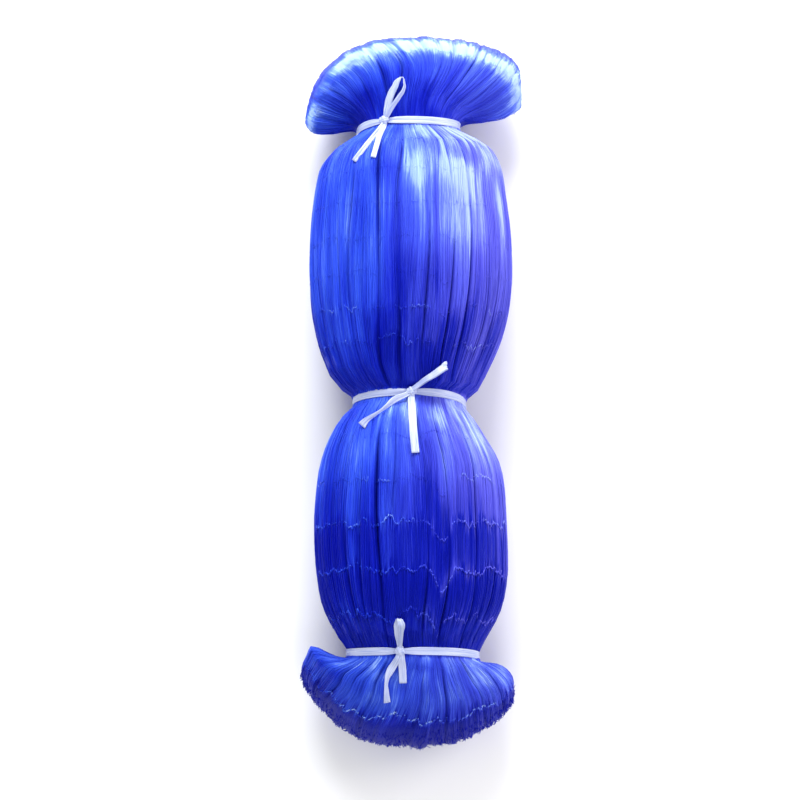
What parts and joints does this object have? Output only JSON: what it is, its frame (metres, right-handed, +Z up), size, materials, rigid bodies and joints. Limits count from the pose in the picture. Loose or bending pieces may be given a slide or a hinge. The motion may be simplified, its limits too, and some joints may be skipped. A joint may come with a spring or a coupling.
{
  "type": "gill net",
  "caption": "Blue monofilament gill net gathered lengthwise into a long two-lobed hank with flared ends, bound at its waists with flat white tape tied in half-bows.",
  "frame": {"origin": "on the floor, under the middle of the hank's length and width", "axes": "+Z up out of the face with the bows, +Y along the hank towards its smooth rolled end, +X across it to the right"},
  "size_m": [0.2036, 0.6636, 0.1265],
  "materials": {
    "nylon_monofilament": "glossy nylon monofilament in fine parallel strands",
    "white_tape": "thin creased plastic tape, slightly shiny"
  },
  "bodies": {
    "root": {"net_hank": "nylon_monofilament", "first_tie": "white_tape", "second_tie": "white_tape", "third_tie": "white_tape"}
  },
  "joints": []
}
